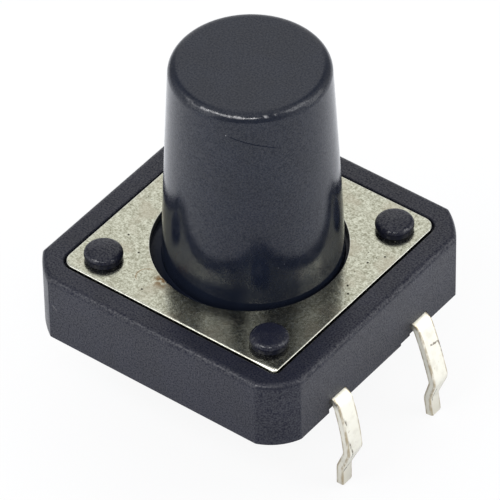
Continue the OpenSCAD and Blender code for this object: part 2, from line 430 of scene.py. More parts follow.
class Graph:
    """A short way to lay shader nodes in a material that reads the piece's own millimetres."""

    def __init__(self, name: str) -> None:
        """Starts a material that has no more than the place on the piece.

        Args:
            name: Name of the material.
        """
        self.material = bpy.data.materials.new(name)
        self.material.use_nodes = True
        self.tree = self.material.node_tree
        self.tree.nodes.clear()
        coordinates = self.node("TexCoord").outputs["Object"]
        to_mm = self.node("VectorMath", operation="SCALE")
        self.put(to_mm.inputs["Vector"], coordinates)
        to_mm.inputs["Scale"].default_value = 1 / MM
        self.place = to_mm.outputs["Vector"]

    def node(self, kind: str, **settings: object) -> bpy.types.Node:
        """Adds a node.

        Args:
            kind: Its kind, as in the node type's name.
            **settings: Its options.

        Returns:
            The new node.
        """
        made = self.tree.nodes.new("ShaderNode" + kind)
        for key, value in settings.items():
            setattr(made, key, value)
        return made

    def put(self, socket: Socket, value: object) -> None:
        """Feeds an input from another node, or sets its own value.

        Args:
            socket: The input.
            value: An output to link, a colour or a number.
        """
        if isinstance(value, bpy.types.NodeSocket):
            self.tree.links.new(value, socket)
        elif isinstance(value, tuple) and socket.type == "RGBA":
            socket.default_value = (*value, 1.0)
        else:
            socket.default_value = value

    def math(self, operation: str, first: object, second: object = 0.0) -> Socket:
        """Works out one sum.

        Args:
            operation: Kind of sum.
            first: First number.
            second: Second number, where the sum has one.

        Returns:
            The result.
        """
        made = self.node("Math", operation=operation)
        self.put(made.inputs[0], first)
        self.put(made.inputs[1], second)
        return made.outputs[0]

    def ramp(self, value: Socket, low: float, high: float, start: float = 0.0, end: float = 1.0) -> Socket:
        """Carries a number smoothly from one range to another, held at its ends.

        Args:
            value: The number.
            low: Where the smooth step begins.
            high: Where it ends.
            start: Result at or beyond low.
            end: Result at or beyond high.

        Returns:
            The new number.
        """
        made = self.node("MapRange", interpolation_type="SMOOTHSTEP")
        names = ("Value", "From Min", "From Max", "To Min", "To Max")
        for key, number in zip(names, (value, low, high, start, end)):
            self.put(made.inputs[key], number)
        return made.outputs["Result"]

    def mix(self, share: object, first: object, second: object) -> Socket:
        """Mixes two colours.

        Args:
            share: Share of the second colour.
            first: First colour.
            second: Second colour.

        Returns:
            The mixed colour.
        """
        made = self.node("Mix", data_type="RGBA")
        self.put(made.inputs[0], share)
        self.put(made.inputs[6], first)
        self.put(made.inputs[7], second)
        return made.outputs[2]

    def stretched(self, by: Point) -> Socket:
        """Stretches the place.

        Args:
            by: What each axis is multiplied by.

        Returns:
            The stretched place.
        """
        made = self.node("VectorMath", operation="MULTIPLY")
        self.put(made.inputs[0], self.place)
        self.put(made.inputs[1], by)
        return made.outputs["Vector"]

    def noise(self, scale: float, detail: float = 2.0, place: Socket | None = None) -> Socket:
        """Lays a cloudy number over the piece.

        Args:
            scale: Waves to the millimetre.
            detail: How many finer waves are laid over them.
            place: Stretched place to read, where it isn't the plain one.

        Returns:
            The number, about one half on average.
        """
        made = self.node("TexNoise")
        self.put(made.inputs["Vector"], place or self.place)
        self.put(made.inputs["Scale"], scale)
        self.put(made.inputs["Detail"], detail)
        return made.outputs["Fac"]

    def cells(self, scale: float) -> Socket:
        """Scatters points through the piece.

        Args:
            scale: Points to the millimetre.

        Returns:
            The distance to the nearest of them.
        """
        made = self.node("TexVoronoi")
        self.put(made.inputs["Vector"], self.place)
        self.put(made.inputs["Scale"], scale)
        return made.outputs["Distance"]

    def distance(self, point: Point, place: Socket | None = None) -> Socket:
        """Measures the distance to a point.

        Args:
            point: The point.
            place: Stretched place to read, where it isn't the plain one.

        Returns:
            The distance.
        """
        made = self.node("VectorMath", operation="DISTANCE")
        self.put(made.inputs[0], place or self.place)
        self.put(made.inputs[1], point)
        return made.outputs["Value"]

    def height(self) -> Socket:
        """Reads the place's height.

        Returns:
            The height.
        """
        split = self.node("SeparateXYZ")
        self.put(split.inputs[0], self.place)
        return split.outputs["Z"]

    def spot(self, point: Point, radius: float, soft: float) -> Socket:
        """Gives 1 inside a ball round a point, fading to 0 over its soft skin."""
        return self.ramp(self.distance(point), radius, radius + soft, 1.0, 0.0)

    def scratch(self, mark: "Scratch") -> Socket:
        """Gives 1 on a fine straight line that lies on a surface.

        The line is where the plane through its two ends and the outward direction meets the
        surface, kept to the ball that has the two ends across it.

        Args:
            mark: The line.

        Returns:
            The line's share.
        """
        ends = np.array([mark.start, mark.end])
        middle = ends.mean(0)
        square = unit(np.cross(ends[1] - ends[0], np.array(mark.outward)))
        dot = self.node("VectorMath", operation="DOT_PRODUCT")
        self.put(dot.inputs[0], self.place)
        self.put(dot.inputs[1], tuple(square))
        across = self.math("SUBTRACT", dot.outputs["Value"], float(middle @ square))
        off = self.math("ABSOLUTE", across)
        length = float(np.linalg.norm(ends[1] - ends[0]))
        near = self.spot(tuple(middle), 0.35 * length, 0.15 * length)
        line = self.ramp(off, 0.4 * mark.width, mark.width, 1.0, 0.0)
        return self.math("MULTIPLY", line, near)

    def most(self, shares: list[Socket]) -> Socket:
        """Compares several shares.

        Args:
            shares: The shares.

        Returns:
            The largest of them.
        """
        top = shares[0]
        for share in shares[1:]:
            top = self.math("MAXIMUM", top, share)
        return top

    def edge(self) -> Socket:
        """Reads the edge share that the mesh carries."""
        return self.node("Attribute", attribute_name="edge").outputs["Fac"]

    def bump(self, height: Socket, strength: float, depth: float) -> Socket:
        """Turns a height into a bent normal.

        Args:
            height: The height, from 0 to about 1.
            strength: Share of the bend.
            depth: Depth of a height of 1.

        Returns:
            The normal.
        """
        made = self.node("Bump")
        self.put(made.inputs["Strength"], strength)
        self.put(made.inputs["Distance"], depth * MM)
        self.put(made.inputs["Height"], height)
        return made.outputs["Normal"]

    def finish(self, **inputs: object) -> bpy.types.Material:
        """Closes the material with one shader.

        Args:
            **inputs: The shader's inputs, named with underscores for spaces.

        Returns:
            The material.
        """
        shader = self.node("BsdfPrincipled")
        for key, value in inputs.items():
            self.put(shader.inputs[key.replace("_", " ")], value)
        self.put(self.node("OutputMaterial").inputs["Surface"], shader.outputs["BSDF"])
        return self.material


@dataclass(frozen=True)
class Scratch:
    """A fine line on a surface: its two ends, the surface's outward direction and the line's width."""

    start: Point
    end: Point
    outward: Point
    width: float = 0.03


@dataclass(frozen=True)
class BlackMoulding:
    """Satin black moulded plastic: clouds, grain, rubbed edges, marks, painted shade low down and a
    painted highlight.
    """

    name: str
    colour: Colour
    rub_and_highlight: Colour
    roughness: float
    grain: float
    rub: float
    # Painted shade: the heights, the point, the distances and the shares over which the reflection is
    # dimmed.
    painted_shade_heights: Span
    painted_shade_at: Point
    painted_shade_span: Span
    painted_shade_share: Span
    flecks: float = 0.3
    gloss: float = 0.49
    speckle: float = 0.37
    # Where the painted shade is lifted again: a point, its distances and the share that is left.
    unshaded_at: Point | None = None
    unshaded_span: Span = (0.6, 1.2)
    unshaded_share: float = 0.3
    light_marks: tuple[Scratch, ...] = ()
    dark_marks: tuple[Scratch, ...] = ()
    chips: tuple[Point, ...] = ()
    # Painted highlight: a broken bright line round an upright axis, at a radius, near a point.
    painted_highlight_at: Point | None = None
    painted_highlight_axis: Point = (0.0, 0.0, 0.0)
    painted_highlight_r: float = 2.865

    def worn(self, g: Graph) -> Socket:
        """Paints the broken bright line of a highlight on part of a round edge.

        Args:
            g: The material's nodes.

        Returns:
            The line's share.
        """
        radius = g.distance(self.painted_highlight_axis, g.stretched((1, 1, 0)))
        off = g.math("ABSOLUTE", g.math("SUBTRACT", radius, self.painted_highlight_r))
        line = g.ramp(off, 0.0, 0.06, 1.0, 0.0)
        near = g.spot(self.painted_highlight_at, 0.8, 1.9)
        broken = g.ramp(g.noise(4.5, 5.0), 0.47, 0.72)
        return g.math("MULTIPLY", g.math("MULTIPLY", line, near), broken)

    def material(self) -> bpy.types.Material:
        """Lays the finish's nodes.

        Returns:
            The material.
        """
        g = Graph(self.name)
        deep = tuple(0.9 * c for c in self.colour)
        pale = tuple(1.1 * c for c in self.colour)
        body = g.mix(g.ramp(g.noise(0.9, 3.0), 0.3, 0.7), deep, pale)
        flecks = g.ramp(g.noise(14.0, 1.0), 0.73, 0.79, 0.0, self.flecks)
        rub = g.math("MULTIPLY", g.edge(), g.ramp(g.noise(7.0, 3.0), 0.54, 0.72, 0.0, self.rub))
        marks = [flecks, rub]
        marks += [g.scratch(mark) for mark in self.light_marks]
        marks += [g.math("MULTIPLY", g.spot(point, 0.01, 0.02), 0.6) for point in self.chips]
        # Painted highlight along part of the round top edge.
        if self.painted_highlight_at:
            marks.append(self.worn(g))
        # Light colour: rubbed edges, flecks and marks, and on the stem also the painted highlight.
        colour = g.mix(g.most(marks), body, self.rub_and_highlight)
        dimmest, brightest = self.gloss - self.speckle, self.gloss + self.speckle
        grit = g.ramp(g.noise(15.0, 3.0), 0.28, 0.72, dimmest, brightest)
        for mark in self.dark_marks:
            grit = g.math("MULTIPLY", grit, g.math("SUBTRACT", 1.0, g.scratch(mark)))
        # Painted shade: the reflection is dimmed below a height and near a point, and lifted again round a
        # second point.
        low = g.ramp(g.height(), *self.painted_shade_heights, 1.0, 0.0)
        near = g.ramp(g.distance(self.painted_shade_at), *self.painted_shade_span, *self.painted_shade_share)
        dull = g.math("MULTIPLY", low, near)
        if self.unshaded_at:
            left = g.ramp(g.distance(self.unshaded_at), *self.unshaded_span, self.unshaded_share, 1.0)
            dull = g.math("MULTIPLY", dull, left)
        grit = g.math("MULTIPLY", grit, g.math("SUBTRACT", 1.0, dull))
        rough = g.ramp(g.noise(3.0, 4.0), 0.3, 0.7, self.roughness - 0.03, self.roughness + 0.05)
        fine = g.math("MULTIPLY", g.noise(22.0, 2.0), 0.5)
        height = g.math("ADD", g.noise(2.2, 2.0), fine)
        return g.finish(
            Base_Color=colour,
            Roughness=rough,
            IOR=1.42,
            Specular_IOR_Level=grit,
            Normal=g.bump(height, 0.5, self.grain),
        )


@dataclass(frozen=True)
class CoverSteel:
    """Dull plated sheet: warm grey with a fine speckle, brown clouds, small pits, a rust stain and a
    painted highlight on its rounded edges.
    """

    pits: tuple[Point, ...]
    rust_at: Point
    hair_middle: Point
    hair_centre: Point
    hair_r: float = 0.4
    name: str = "cover_steel"
    pale: Colour = (0.69, 0.70, 0.58)
    # Pale colour of the painted highlight along the rounded edges.
    edge_highlight: Colour = (0.85, 0.85, 0.82)
    dull: Colour = (0.28, 0.275, 0.20)
    cloud: Colour = (0.44, 0.405, 0.315)
    dirt: Colour = (0.05, 0.045, 0.035)
    rust: Colour = (0.30, 0.17, 0.06)

    def material(self) -> bpy.types.Material:
        """Lays the finish's nodes.

        Returns:
            The material.
        """
        g = Graph(self.name)
        coarse = g.math("MULTIPLY", g.ramp(g.noise(5.5, 5.0), 0.34, 0.66), 0.36)
        fine = g.math("MULTIPLY", g.ramp(g.noise(14.0, 3.0), 0.32, 0.68), 0.64)
        body = g.mix(g.math("ADD", coarse, fine), self.dull, self.pale)
        clouds = g.math("MULTIPLY", g.ramp(g.noise(1.1, 6.0), 0.48, 0.68), 0.55)
        body = g.mix(clouds, body, self.cloud)
        hairs = [
            g.ramp(g.noise(1.0, 3.0, g.stretched(by)), 0.62, 0.7, 0.0, 0.35)
            for by in ((1.6, 16.0, 1.0), (15.0, 2.0, 1.0))
        ]
        body = g.mix(g.most(hairs), body, self.dull)
        specks = g.ramp(g.cells(3.6), 0.06, 0.12, 0.85, 0.0)
        scattered = g.math("MULTIPLY", specks, g.ramp(g.noise(0.8), 0.44, 0.6))
        pits = g.most([scattered] + [g.spot(point, 0.025, 0.035) for point in self.pits])
        off = g.math("ABSOLUTE", g.math("SUBTRACT", g.distance(self.hair_centre), self.hair_r))
        line = g.ramp(off, 0.01, 0.035, 0.6, 0.0)
        hair = g.math("MULTIPLY", line, g.spot(self.hair_middle, 0.3, 0.25))
        broken = g.ramp(g.noise(5.0, 5.0), 0.36, 0.6)
        stain = g.math("MULTIPLY", g.spot(self.rust_at, 0.1, 0.45), broken)
        colour = g.mix(g.math("MAXIMUM", stain, hair), body, self.rust)
        colour = g.mix(pits, colour, self.dirt)
        # Painted highlight: the rounded edges are mixed towards a pale colour.
        colour = g.mix(g.math("MULTIPLY", g.edge(), 0.3), colour, self.edge_highlight)
        rough = g.ramp(g.noise(9.0, 3.0), 0.3, 0.7, 0.15, 0.24)
        worn = g.math("ADD", rough, g.math("MULTIPLY", g.most([stain, hair, pits]), 0.4))
        height = g.math("SUBTRACT", g.noise(14.0, 3.0), g.math("MULTIPLY", pits, 2.0))
        return g.finish(
            Base_Color=colour, Metallic=1.0, Roughness=worn, Normal=g.bump(height, 0.4, 0.003)
        )


@dataclass(frozen=True)
class PinPlating:
    """Dull silver-white plating with brown tarnish along the sheared edges and dark rubs."""

    rubs: tuple[Scratch, ...]
    name: str = "contact_plating"
    colour: Colour = (0.93, 0.91, 0.80)
    grey: Colour = (0.74, 0.71, 0.60)
    tarnish: Colour = (0.42, 0.34, 0.21)
    dirt: Colour = (0.14, 0.11, 0.07)
    toe_z: float = -3.9
    grey_h: float = 1.7

    def material(self) -> bpy.types.Material:
        """Lays the finish's nodes.

        Returns:
            The material.
        """
        g = Graph(self.name)
        low = g.ramp(g.height(), self.toe_z, self.toe_z + self.grey_h, 0.75, 0.0)
        cloud = g.math("MULTIPLY", g.ramp(g.noise(2.6, 4.0), 0.45, 0.7), 0.5)
        body = g.mix(g.math("MAXIMUM", low, cloud), self.colour, self.grey)
        streaks = g.ramp(g.noise(1.0, 4.0, g.stretched((9.0, 9.0, 2.2))), 0.34, 0.58, 0.12, 0.85)
        seam = g.math("MULTIPLY", g.edge(), streaks)
        stray = g.ramp(g.noise(5.0, 5.0), 0.66, 0.76, 0.0, 0.6)
        colour = g.mix(g.most([seam, stray]), body, self.tarnish)
        rubs = g.most([g.scratch(mark) for mark in self.rubs])
        broken = g.ramp(g.noise(9.0, 3.0), 0.36, 0.58, 0.1, 0.9)
        colour = g.mix(g.math("MULTIPLY", rubs, broken), colour, self.dirt)
        rough = g.ramp(g.noise(6.0, 3.0), 0.3, 0.7, 0.36, 0.5)
        bent = g.bump(g.noise(7.0, 3.0), 0.5, 0.012)
        return g.finish(Base_Color=colour, Metallic=1.0, Roughness=rough, Normal=bent)


@dataclass(frozen=True)
class DomeSteel:
    """Bright spring sheet with faint clouds."""

    name: str = "dome_steel"
    colour: Colour = (0.66, 0.65, 0.62)
    pale: Colour = (0.74, 0.73, 0.70)

    def material(self) -> bpy.types.Material:
        """Lays the finish's nodes.

        Returns:
            The material.
        """
        g = Graph(self.name)
        colour = g.mix(g.ramp(g.noise(6.0, 3.0), 0.35, 0.65), self.colour, self.pale)
        rough = g.ramp(g.noise(8.0), 0.3, 0.7, 0.2, 0.3)
        return g.finish(Base_Color=colour, Metallic=1.0, Roughness=rough)


@dataclass
class CoverPlate:
    """The riveted sheet: a rounded square with a round hole for the stem and four for the posts."""

    finish: CoverSteel
    box: Array = field(default_factory=lambda: node_box("cover_plate"))
    corner_r: float = 0.5
    front_corner_r: float = 0.17
    hole_r: float = 3.7
    post_hole_r: float = 0.6
    drill_past: float = 1.0
    plain_edge_r: float = 0.038
    left_edge_r: float = 0.055
    left_edge_from: Span = (-93.0, -88.0)
    widest_edge_r: float = 0.18
    bevel_span: float = 7.0
    burr_r: float = 0.02
    land: float = 0.35
    least_r: float = 0.002

    def edge_radius(self, angle: Array) -> Array:
        """Rounding of the outer top edge, as a broken line of the bearing from the front corner.

        It is plain round most of the sheet and a little larger along the left front side, where it
        widens to the front corner as a worn bevel.

        Args:
            angle: Directions from the middle.

        Returns:
            Radius in each direction.
        """
        bearing = np.degrees(angle) + 45
        stops = [*self.left_edge_from, -self.bevel_span, 0, 1]
        plain, left, widest = self.plain_edge_r, self.left_edge_r, self.widest_edge_r
        return np.interp(bearing, stops, [plain, left, left, widest, plain])

    def surface(self) -> Patch:
        """Skins the sheet's section, carried round the middle from the hole to the outer edge.

        The section's inner half is set out from the hole and its outer half from the outline. Its
        points lie on a straight line of the edge's radius, so two sections give every one between.

        Returns:
            The closed sheet without its post holes.
        """
        (low, _, z0), (high, _, z1) = self.box
        half = (high - low) / 2
        angle = loop_angles(half, half - self.corner_r)
        corner_r = np.where(in_front(angle), self.front_corner_r, self.corner_r)
        section = [(self.land, z0), (0, z0), (0, z1), (self.land, z1)]
        inner = Profile.filleted(section, [self.burr_r, 2 * self.burr_r])
        outers = [
            Profile.filleted(section[::-1], [edge_r, self.burr_r])
            for edge_r in (self.plain_edge_r, self.widest_edge_r)
        ]
        share = (self.edge_radius(angle) - self.plain_edge_r) / (self.widest_edge_r - self.plain_edge_r)
        plain, wide = (outer.points[:, :, None] for outer in outers)
        outer = plain * (1 - share) + wide * share
        inset, height = outer[:, 0], outer[:, 1]
        round_r = np.maximum(corner_r - inset, self.least_r)
        reach = square_loop(angle, half - inset, half - corner_r, round_r)
        radius = np.vstack([self.hole_r + inner.points[:, :1] + 0 * angle, reach])
        heights = np.vstack([inner.points[:, 1:] + 0 * angle, height])
        loops = np.stack([radius * np.cos(angle), radius * np.sin(angle), heights], -1)
        edge = np.concatenate([inner.edge, outers[0].edge])
        return Patch.loft(loops, edge[:, None], ring=True)

    def build(self) -> None:
        """Makes the plate, drills it for the posts and dresses it."""
        plate = self.surface().piece("cover_sheet")
        z0, z1 = self.box[:, 2]
        through = (z0 - self.drill_past, z1 + self.drill_past)
        drills = [
            round_bar(spot, self.post_hole_r, through, (0.05, 0.05), steps=1, eye_r=2 * EYE_R)
            for spot in corner_spots(POST_AT)
        ]
        carved(plate, joined(drills))
        dressed(plate, self.finish.material(), Body.BASE, "cover_plate")


def loop_angles(half: float, centre: float) -> Array:
    """Directions for a square loop: even steps, closer ones at the corners and the arcs' own ends.

    Args:
        half: Half the square's size.
        centre: Where each straight side meets its corner arc.

    Returns:
        Angles in rising order, a whole turn.
    """
    even = np.radians(np.arange(-180, 180, 1.5))
    spread = np.radians(np.concatenate([np.linspace(-7, 7, 29), np.linspace(-1.4, 1.4, 21)]))
    diagonals = np.radians([-135, -45, 45, 135])[:, None] + spread
    joint = np.arctan2(centre, half)
    quarters = np.radians([-180, -90, 0, 90])[:, None]
    joints = quarters + np.array([joint, np.pi / 2 - joint])
    angles = np.concatenate([even, diagonals.ravel(), joints.ravel()])
    return np.unique(angles.round(5))


def in_front(angle: Array) -> Array:
    """Tells which directions lie in the quarter of the front corner."""
    return (angle > -np.pi / 2) & (angle < 0)


@dataclass
class Housing:
    """The moulded base: its outer shell, plate recess, well, terminal notches and rivet posts.

    Shell and posts are two pieces with a finish each, and both stand for the housing.
    """

    finish: BlackMoulding
    post_finish: BlackMoulding
    plate_box: Array = field(default_factory=lambda: node_box("cover_plate"))
    box: Array = field(default_factory=lambda: node_box("housing"))
    rim_z: float = 2.93
    corner_inset: float = 1.21
    front_corner_r: float = 2.15
    other_corner_r: float = 4.0
    recess_gap: float = 0.08
    recess_corner_r: float = 0.575
    recess_front_r: float = 0.24
    well_r: float = 4.55
    well_edge_r: float = 0.05
    floor_z: float = 0.75
    foot_r: float = 0.025
    rim_r: float = 0.24
    lip_r: float = 0.07
    ledge_step: float = 0.08
    notch_depth: float = 0.13
    notch_span: Span = (-0.61, 0.44)
    notch_heights: Span = (-0.6, 0.6)
    pin_hole_r: float = 0.4
    pin_hole_heights: Span = (-1.0, 0.3)
    nick: tuple[Point, Point] = ((5.86, 1.34, -0.1), (6.1, 2.0, 0.12))
    post_r: float = 0.55
    post_sink: float = 0.1
    head_foot_r: float = 0.715
    head_r: float = 0.74
    head_flare_h: float = 0.2
    head_dome_h: float = 0.1
    head_round: float = 0.19

    def shell(self) -> Patch:
        """Skins the base from the middle of its underside, over the rim and down into its well.

        The outer section is set in from the square outline, the lip from the recess and the rest
        from the round well, and every loop has its points in the same directions. The front corner
        is rounder than the other three.

        Returns:
            The closed shell.
        """
        half = (self.box[1, 0] - self.box[0, 0]) / 2
        angle = loop_angles(half, half - self.corner_inset)
        corner_r = np.where(in_front(angle), self.front_corner_r, self.other_corner_r)
        half_inset = self.corner_inset / 2
        centre = half - half_inset - np.sqrt(corner_r**2 / 2 - half_inset**2)
        ledge_z = self.plate_box[0, 2]
        outer = Profile.filleted(
            [(1.5, 0), (0, 0), (0, self.rim_z), (0.6, self.rim_z)], [self.foot_r, self.rim_r], steps=10
        )
        inset = outer.points[:, :1]
        recess = (self.plate_box[1, 0] - self.plate_box[0, 0]) / 2 + self.recess_gap
        lip = Profile.filleted(
            [(0.12, self.rim_z), (0, self.rim_z), (0, ledge_z), (-0.1, ledge_z)], [self.lip_r, 0.01]
        )
        out = lip.points[:, :1]
        ledge_r, wall_r = self.well_r + self.ledge_step, self.well_r
        well = Profile.filleted(
            [(ledge_r, ledge_z), (wall_r, ledge_z), (wall_r, self.floor_z), (1, self.floor_z)],
            [self.well_edge_r, 2 * self.well_edge_r],
        )
        recess_r = np.where(in_front(angle), self.recess_front_r, self.recess_corner_r)
        radius = np.vstack([
            square_loop(angle, half - inset, centre, corner_r - inset),
            square_loop(angle, recess + out, recess - recess_r, recess_r + out),
            well.points[:, :1] + 0 * angle,
        ])
        height = np.concatenate([line.points[:, 1] for line in (outer, lip, well)])[:, None]
        edge = np.concatenate([outer.edge, lip.edge, well.edge])[:, None]
        loops = [radius * np.cos(angle), radius * np.sin(angle), height + 0 * angle]
        return Patch.loft(np.stack(loops, -1), edge)

    def hollows(self) -> Patch:
        """Gathers what is cut from the shell: terminal notches, holes under the strips and one nick.

        Returns:
            The cutters in one surface.
        """
        half = (self.box[1, 0] - self.box[0, 0]) / 2
        low, high = self.notch_span
        foot, top = self.notch_heights
        depth = self.notch_depth
        hole = (self.pin_hole_r, self.pin_hole_heights, (0.05, 0.02))
        cuts = [Patch.box(*self.nick)]
        for y in (-LEAD_PITCH / 2, LEAD_PITCH / 2):
            for side in (-1, 1):
                face = side * half
                cuts.append(Patch.box((face - depth, y + low, foot), (face + depth, y + high, top)))
                cuts.append(round_bar((side * PAD_X, y), *hole, steps=1, count=32, eye_r=2 * EYE_R))
        return joined(cuts)

    def posts(self) -> Patch:
        """Turns the four rivet posts: a shank through the plate and a domed head that widens upwards.

        Returns:
            The posts in one surface.
        """
        root = self.plate_box[0, 2] - self.post_sink
        top = self.plate_box[1, 2]
        crown = self.box[1, 2]
        section = Profile.filleted(
            [
                (EYE_R, root),
                (self.post_r, root),
                (self.post_r, top),
                (self.head_foot_r, top),
                (self.head_r, top + self.head_flare_h),
                (self.head_r, crown - self.head_dome_h),
                (EYE_R, crown),
            ],
            [0.02, 0.005, 0.02, 0.05, self.head_round],
        )
        return joined([Patch.turned(section, spot, count=64) for spot in corner_spots(POST_AT)])

    def build(self) -> None:
        """Makes the shell and the posts and dresses both."""
        shell = self.shell().piece("base_moulding")
        carved(shell, self.hollows())
        dressed(shell, self.finish.material(), Body.BASE, "housing")
        posts = self.posts().piece("rivet_posts")
        dressed(posts, self.post_finish.material(), Body.BASE, "housing")


@dataclass
class Stem:
    """The tapered stem with its flange under the plate and its nub over the dome."""

    finish: BlackMoulding
    box: Array = field(default_factory=lambda: node_box("plunger"))
    root_r: float = 3.41
    waist_r: float = 3.333
    waist_z: float = 5.2
    waist_bend: float = 60.0
    tip_r: float = 2.985
    top_r: float = 0.4
    flange_z: float = 2.02
    flange_top_z: float = 2.62
    nub_r: float = 1.2
    nub_round: float = 0.25
    nub_root: float = 0.02
    flange_round: float = 0.05
    stem_root: float = 0.04

    def build(self) -> None:
        """Turns the stem's section about its axis and dresses it."""
        flange_r = (self.box[1, 0] - self.box[0, 0]) / 2
        nub_z, top_z = self.box[:, 2]
        rounds = [self.nub_round, self.nub_root, self.flange_round, self.flange_round]
        rounds += [self.stem_root, self.waist_bend, self.top_r]
        section = Profile.filleted(
            [
                (EYE_R, nub_z),
                (self.nub_r, nub_z),
                (self.nub_r, self.flange_z),
                (flange_r, self.flange_z),
                (flange_r, self.flange_top_z),
                (self.root_r, self.flange_top_z),
                (self.waist_r, self.waist_z),
                (self.tip_r, top_z),
                (EYE_R, top_z),
            ],
            rounds,
            steps=10,
        )
        stem = Patch.turned(section, tuple(self.box.mean(0)[:2]), count=256).piece("tall_stem")
        dressed(stem, self.finish.material(), Body.STEM, "plunger")


@dataclass(frozen=True)
class Leg:
    """How one terminal is folded: its leans in degrees and its straight lengths in millimetres."""

    lean_top: float = 17.0
    lean_knee: float = 15.0
    upper: float = 2.2
    lean_in: float = 22.0
    lower: float = 0.9
    lean_toe: float = 8.0
    toe: float = 0.65


@dataclass
class DomeContacts:
    """What stands on the strips inside the base: the dome's two pads, and a tongue with its button."""

    foot_z: float = 0.3
    pad_r: float = 0.6
    pad_z: float = 0.85
    tongue_half: float = 0.8
    tongue_z: float = 0.6
    button_r: float = 0.7
    button_z: float = 0.95
    rounds: Span = (0.02, 0.04)

    def pads(self) -> list[Patch]:
        """Turns the two pads under the dome's rim.

        Returns:
            The pads.
        """
        heights = (self.foot_z, self.pad_z)
        spots = [(x, -LEAD_PITCH / 2) for x in (-PAD_X, PAD_X)]
        return [round_bar(spot, self.pad_r, heights, self.rounds) for spot in spots]

    def tongue(self) -> list[Patch]:
        """Makes the tongue to the middle and turns the button at its end.

        Returns:
            The tongue and the button.
        """
        end = (-self.tongue_half, 0.0, self.foot_z)
        root = (self.tongue_half, LEAD_PITCH / 2, self.tongue_z)
        button = round_bar((0, 0), self.button_r, (self.foot_z, self.button_z), self.rounds)
        return [Patch.box(end, root), button]


@dataclass
class ContactStrip:
    """One strip across the base with a folded terminal at each end."""

    name: str
    node: str
    y: float
    right: Leg
    left: Leg
    finish: PinPlating
    inner: list[Patch]
    reach: float = 5.774
    mid_z: float = 0.45
    width: float = 0.86
    thick: float = 0.3
    toe_w: float = 0.6
    toe_bevel: float = 0.05
    bend_r: float = 0.45
    knee_r: float = 0.4
    corner_r: float = 0.05

    def leg_line(self, leg: Leg) -> tuple[Array, Array, Array]:
        """Works out a terminal's mid-line from its folds.

        The heading below the horizon is a broken line of the way along the strip: it turns evenly
        over each bend and stays over each flat. The place is the running sum of the steps along
        the heading.

        Args:
            leg: The folds.

        Returns:
            Place as X and Z, heading in radians and half width, at each point along the leg.
        """
        headings = [0, 90 - leg.lean_top, 90 - leg.lean_knee, 90 + leg.lean_in, 90 + leg.lean_in]
        headings += [90 - leg.lean_toe, 90 - leg.lean_toe]
        turn = np.radians(np.diff(headings))
        radii = np.array([self.bend_r, 0, self.knee_r, 0, self.knee_r, 0])
        flats = np.array([0, leg.upper, 0, leg.lower, 0, leg.toe])
        marks = np.concatenate([[0], np.cumsum(abs(turn) * radii + flats)])
        stops = np.linspace(0, len(marks) - 1, 12 * (len(marks) - 1) + 1)
        bevel = marks[-1] - self.toe_bevel * np.array([1, 0.5, 0.2, 0])
        way = np.unique(np.concatenate([np.interp(stops, np.arange(len(marks)), marks), bevel]))
        heading = np.interp(way, marks, np.radians(headings))
        mid = (heading[1:] + heading[:-1]) / 2
        steps = np.diff(way)[:, None] * np.stack([np.cos(mid), -np.sin(mid)], -1)
        place = np.array([self.reach, self.mid_z]) + np.vstack([np.zeros((1, 2)), np.cumsum(steps, 0)])
        shares = np.array([1, 1, 0, 0, -0.1, -0.25, -0.45])
        half_w = np.interp(
            way,
            np.concatenate([marks[[0, 3, 4]], bevel]),
            (self.toe_w + (self.width - self.toe_w) * shares) / 2,
        )
        return place, heading, half_w

    def section(self, half_w: Array) -> tuple[Array, Array]:
        """Gives the strip's section at each point along it: a rectangle with small round corners.

        Each corner is a quarter turn about a centre set in by the corner's radius, with a guard
        point on the flat at each of its ends.

        Args:
            half_w: Half the strip's width at each point along it.

        Returns:
            Offsets across and through the strip, as (points along, section points, 2), and each
            section point's edge share.
        """
        steps = 5
        guard = 0.05
        quarters = np.arange(4)[:, None] * np.pi / 2
        angle = quarters + np.linspace(0, np.pi / 2, steps)
        spokes = self.corner_r * np.stack([np.cos(angle), np.sin(angle)], -1)
        first = spokes[:, :1] + guard * np.stack([np.sin(quarters), -np.cos(quarters)], -1)
        last = spokes[:, -1:] + guard * np.stack([-np.cos(quarters), -np.sin(quarters)], -1)
        offsets = np.concatenate([first, spokes, last], 1)
        signs = np.array([[1, 1], [-1, 1], [-1, -1], [1, -1]])[:, None]
        share = np.ones(offsets.shape[:2])
        share[:, [0, -1]] = 0
        corner = np.stack([half_w, 0 * half_w + self.thick / 2], -1) - self.corner_r
        loop = corner[:, None, None] * signs + offsets
        return loop.reshape(len(half_w), -1, 2), share.ravel()

    def surface(self) -> Patch:
        """Carries the section along the whole strip, from one toe through the base to the other.

        The section's offset through the strip turns with the heading, and its offset across lies
        along Y.

        Returns:
            The closed strip.
        """
        right_at, right_way, right_w = self.leg_line(self.right)
        left_at, left_way, left_w = self.leg_line(self.left)
        place = np.vstack([left_at[::-1] * [-1, 1], right_at])
        heading = np.concatenate([-left_way[::-1], right_way])
        loop, share = self.section(np.concatenate([left_w[::-1], right_w]))
        across, through = loop[..., 0], loop[..., 1]
        x = place[:, :1] + through * np.sin(heading)[:, None]
        z = place[:, 1:] + through * np.cos(heading)[:, None]
        return Patch.loft(np.stack([x, self.y + across, z], -1), share)

    def build(self) -> None:
        """Makes the strip with its inner pads or tongue and dresses it."""
        strip = joined([self.surface(), *self.inner]).piece(self.name)
        dressed(strip, self.finish.material(), Body.BASE, self.node)


